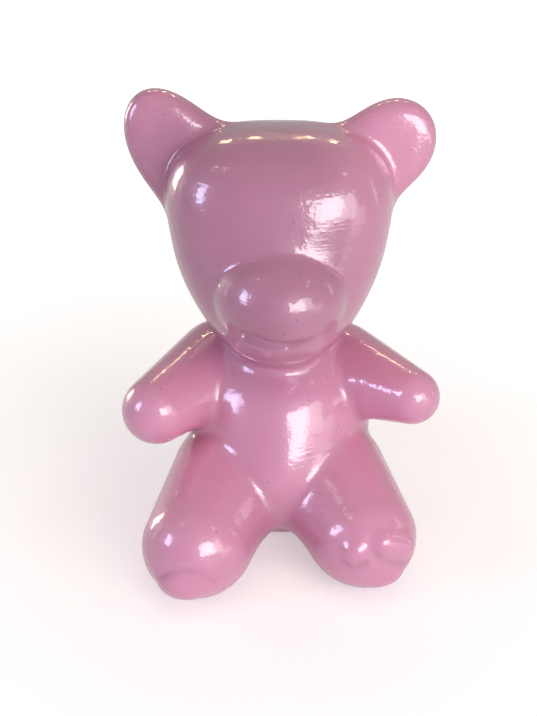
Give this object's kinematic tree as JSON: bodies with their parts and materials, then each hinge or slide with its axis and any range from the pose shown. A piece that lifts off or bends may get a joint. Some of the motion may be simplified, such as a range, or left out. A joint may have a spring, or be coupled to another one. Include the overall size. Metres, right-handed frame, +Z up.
{
  "type": "money box",
  "caption": "Seated teddy bear money box: hollow glazed casting with a coin slot in the back of the head and a rubber stopper in the base.",
  "frame": {"origin": "on the standing surface, under the middle of the bear's width and depth", "axes": "+Z up, -Y the way the bear looks, +X to the right as one faces the bear"},
  "size_m": [0.1272, 0.1301, 0.1828],
  "materials": {
    "pink_glaze": "thick high-gloss pink glaze, poured and slightly uneven",
    "stopper_rubber": "moulded, matt off-white"
  },
  "bodies": {
    "bank": {"bear_shell": "pink_glaze"},
    "stopper": {"stopper": "stopper_rubber"}
  },
  "joints": [
    {"name": "stopper_pull", "type": "slide", "parent": "bank", "child": "stopper", "axis": [0, 0, -1], "range_m": [0, 0.015]}
  ]
}
